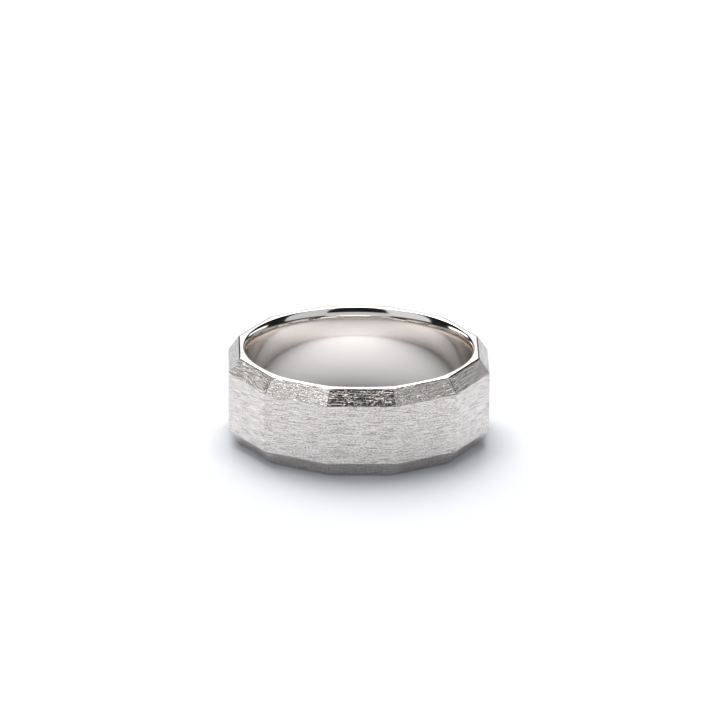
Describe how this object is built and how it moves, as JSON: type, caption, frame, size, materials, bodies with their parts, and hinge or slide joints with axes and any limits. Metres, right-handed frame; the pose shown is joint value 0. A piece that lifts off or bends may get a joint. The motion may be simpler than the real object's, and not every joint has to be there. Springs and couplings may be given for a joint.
{
  "type": "wedding band",
  "caption": "Faceted metal finger ring with tall brushed flats, slanted brushed facets along both edges and a polished, rounded comfort-fit bore.",
  "frame": {"origin": "centre of the bore in the plane of the lower rim, which the band lies on", "axes": "+Z along the finger's axis, from the lower rim to the upper one; -Y is the outward normal of one of the tall flats"},
  "size_m": [0.0226, 0.0226, 0.008],
  "materials": {
    "band": "white gold: hand-brushed flats and slanted facets outside, mirror-polished rims and bore"
  },
  "bodies": {
    "root": {"band": "band"}
  },
  "joints": []
}
